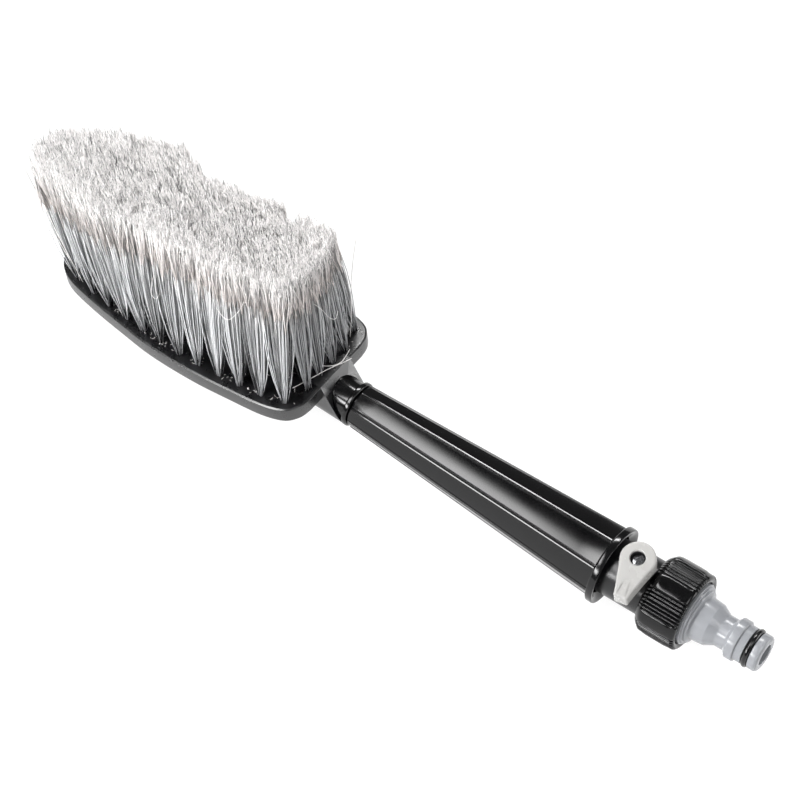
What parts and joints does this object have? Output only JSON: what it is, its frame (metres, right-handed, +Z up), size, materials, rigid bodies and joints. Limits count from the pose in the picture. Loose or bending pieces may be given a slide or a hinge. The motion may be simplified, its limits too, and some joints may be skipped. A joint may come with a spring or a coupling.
{
  "type": "car wash brush",
  "caption": "Flow-through washing brush: boat-shaped head with long soft bristles, tapered panelled grip, quarter-turn valve lever, swivel nut and hose nipple.",
  "frame": {"origin": "centre of the flat land under the back cover, on which the brush lies on its back", "axes": "+X from the brush head to the hose end along the grip, +Z up out of the bristles, +Y to the left when one looks along +X"},
  "size_m": [0.3619, 0.0664, 0.0941],
  "materials": {
    "black_satin": "satin moulded plastic, fine grain",
    "black_gloss": "polished moulded plastic",
    "light_grey": "light grey satin plastic",
    "inner_plastic": "natural white plastic",
    "fibre": "clear bristle fibre, flagged tips",
    "rubber": "black rubber",
    "steel": "plain steel",
    "brass": "turned brass"
  },
  "bodies": {
    "brush": {"head_block": "black_satin", "back_cover": "black_satin", "bristle_row_1": "fibre", "bristle_row_2": "fibre", "bristle_row_3": "fibre", "bristle_row_4": "fibre", "bristle_row_5": "fibre", "bristle_row_6": "fibre", "front_collar": "black_gloss", "neck_o_ring": "rubber", "water_pipe": "inner_plastic", "grip": "black_gloss", "rear_bush": "inner_plastic", "pipe_o_ring": "rubber", "valve_body": "black_satin", "seat_front": "inner_plastic", "seat_rear": "inner_plastic", "seat_retainer": "inner_plastic", "spindle_o_ring": "rubber", "spindle_gland": "inner_plastic"},
    "lever": {"lever": "light_grey", "lever_screw": "steel", "spindle": "brass", "valve_ball": "brass"},
    "swivel": {"union_nut": "black_gloss", "hose_washer": "rubber", "hose_nipple": "light_grey", "nipple_o_ring": "rubber"}
  },
  "joints": [
    {"name": "lever_turn", "type": "hinge", "parent": "brush", "child": "lever", "pos_m": [0.2407, -0.00345, 0.03408], "axis": [-0.0612, -0.2079, 0.9762], "range_deg": [-10, 80]},
    {"name": "swivel_turn", "type": "hinge", "parent": "brush", "child": "swivel", "pos_m": [0.2482, 0, 0.01829], "axis": [0.998, 0, 0.0626], "continuous": true}
  ]
}
